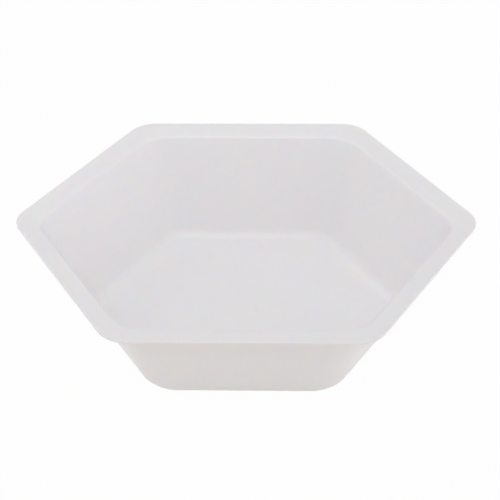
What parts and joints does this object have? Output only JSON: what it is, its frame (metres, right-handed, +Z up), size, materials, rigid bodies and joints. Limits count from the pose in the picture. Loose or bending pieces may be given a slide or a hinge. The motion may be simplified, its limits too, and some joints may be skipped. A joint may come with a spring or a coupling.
{
  "type": "weighing boat",
  "caption": "Hexagonal weighing boat: a thin white plastic tray with leaning walls, a flat floor and a flange round its mouth, for weighing and pouring samples.",
  "frame": {"origin": "middle of the flat underside, on the surface that the boat stands on", "axes": "+X along the length, from tip to tip; +Y across, from the front side to the back side; +Z up, out of the mouth"},
  "size_m": [0.092, 0.07, 0.0242],
  "materials": {
    "boat_sheet": "satin white, very slightly translucent"
  },
  "bodies": {
    "root": {"boat": "boat_sheet"}
  },
  "joints": []
}
